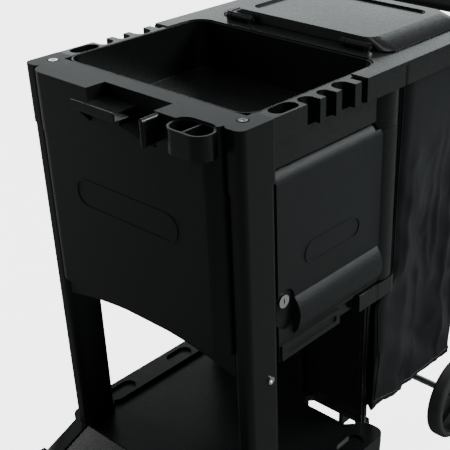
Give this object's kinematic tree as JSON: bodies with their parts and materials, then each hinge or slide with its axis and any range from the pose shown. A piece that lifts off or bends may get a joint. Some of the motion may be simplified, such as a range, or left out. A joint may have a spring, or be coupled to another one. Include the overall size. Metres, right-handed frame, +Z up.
{
  "type": "housekeeping cart",
  "caption": "Wheeled housekeeping cart with a lower deck, a locking two-door cabinet, a top tray with tool holders, and a hooded bag under a hinged lid behind it.",
  "frame": {"origin": "floor level, under the centre of the cart's box", "axes": "+Z up, -Y towards the front platform, +Y towards the push handle, +X towards the side of the tool holder"},
  "size_m": [0.552, 1.17, 0.9815],
  "materials": {
    "black_plastic": "semi-gloss moulded",
    "satin_plastic": "satin moulded",
    "panel_plastic": "fine satin",
    "grained_plastic": "grained matte",
    "grip_plastic": "soft matte",
    "bag_vinyl": "vinyl-coated, slightly shiny",
    "tyre_rubber": "matte",
    "bright_chrome": "polished",
    "zinc_steel": "zinc plated",
    "washer_plastic": "smooth"
  },
  "bodies": {
    "cart": {"lower_deck": "black_plastic", "rear_panel": "black_plastic", "front_post_left": "satin_plastic", "front_post_right": "satin_plastic", "front_panel": "panel_plastic", "cabinet_floor": "black_plastic", "cabinet_back": "black_plastic", "tray_front": "satin_plastic", "tray_side_left": "black_plastic", "tray_side_right": "black_plastic", "tray_bin": "black_plastic", "tool_holder": "black_plastic", "cloth_ledge": "black_plastic", "door_pins": "zinc_steel", "door_washers": "washer_plastic", "bag_hood": "black_plastic", "lid_pins": "zinc_steel", "handle_frame": "black_plastic", "handle_grip": "grip_plastic", "bag": "bag_vinyl", "bag_hooks": "zinc_steel", "rear_axle": "zinc_steel", "axle_brackets": "satin_plastic", "axle_caps": "bright_chrome", "caster_plate_left": "zinc_steel", "caster_plate_right": "zinc_steel", "tray_screws": "bright_chrome", "post_screws": "bright_chrome", "caster_bolts": "zinc_steel", "handle_bolts": "zinc_steel", "bracket_bolts": "zinc_steel"},
    "door_right": {"door_right": "grained_plastic"},
    "lock_right": {"lock_right": "bright_chrome", "lock_cam_right": "zinc_steel"},
    "rear_wheel_right": {"rear_hub_right": "satin_plastic", "rear_tyre_right": "tyre_rubber"},
    "caster_right": {"caster_fork_right": "zinc_steel", "caster_axle_right": "zinc_steel"},
    "caster_wheel_right": {"caster_wheel_right": "satin_plastic", "caster_tyre_right": "tyre_rubber"},
    "door_left": {"door_left": "grained_plastic"},
    "lock_left": {"lock_left": "bright_chrome", "lock_cam_left": "zinc_steel"},
    "rear_wheel_left": {"rear_hub_left": "satin_plastic", "rear_tyre_left": "tyre_rubber"},
    "caster_left": {"caster_fork_left": "zinc_steel", "caster_axle_left": "zinc_steel"},
    "caster_wheel_left": {"caster_wheel_left": "satin_plastic", "caster_tyre_left": "tyre_rubber"},
    "lid": {"bag_lid": "black_plastic"}
  },
  "joints": [
    {"name": "door_right_hinge", "type": "hinge", "parent": "cart", "child": "door_right", "pos_m": [0.215, 0.181, 0.7], "axis": [0, 0, 1], "range_deg": [0, 95]},
    {"name": "lock_right_turn", "type": "hinge", "parent": "door_right", "child": "lock_right", "pos_m": [0.22, -0.105, 0.632], "axis": [1, 0, 0], "range_deg": [0, 90]},
    {"name": "rear_wheel_right_spin", "type": "hinge", "parent": "cart", "child": "rear_wheel_right", "pos_m": [0.256, 0.4835, 0.1015], "axis": [1, 0, 0], "continuous": true},
    {"name": "caster_right_swivel", "type": "hinge", "parent": "cart", "child": "caster_right", "pos_m": [0.168, -0.493, 0.13], "axis": [0, 0, 1], "continuous": true},
    {"name": "caster_wheel_right_spin", "type": "hinge", "parent": "caster_right", "child": "caster_wheel_right", "pos_m": [0.168, -0.459, 0.051], "axis": [1, 0, 0], "continuous": true},
    {"name": "door_left_hinge", "type": "hinge", "parent": "cart", "child": "door_left", "pos_m": [-0.215, 0.181, 0.7], "axis": [0, 0, -1], "range_deg": [0, 95]},
    {"name": "lock_left_turn", "type": "hinge", "parent": "door_left", "child": "lock_left", "pos_m": [-0.22, -0.105, 0.632], "axis": [-1, 0, 0], "range_deg": [0, 90]},
    {"name": "rear_wheel_left_spin", "type": "hinge", "parent": "cart", "child": "rear_wheel_left", "pos_m": [-0.256, 0.4835, 0.1015], "axis": [1, 0, 0], "continuous": true},
    {"name": "caster_left_swivel", "type": "hinge", "parent": "cart", "child": "caster_left", "pos_m": [-0.168, -0.493, 0.13], "axis": [0, 0, 1], "continuous": true},
    {"name": "caster_wheel_left_spin", "type": "hinge", "parent": "caster_left", "child": "caster_wheel_left", "pos_m": [-0.168, -0.459, 0.051], "axis": [1, 0, 0], "continuous": true},
    {"name": "lid_hinge", "type": "hinge", "parent": "cart", "child": "lid", "pos_m": [0, 0.217, 0.969], "axis": [1, 0, 0], "range_deg": [0, 100]}
  ]
}
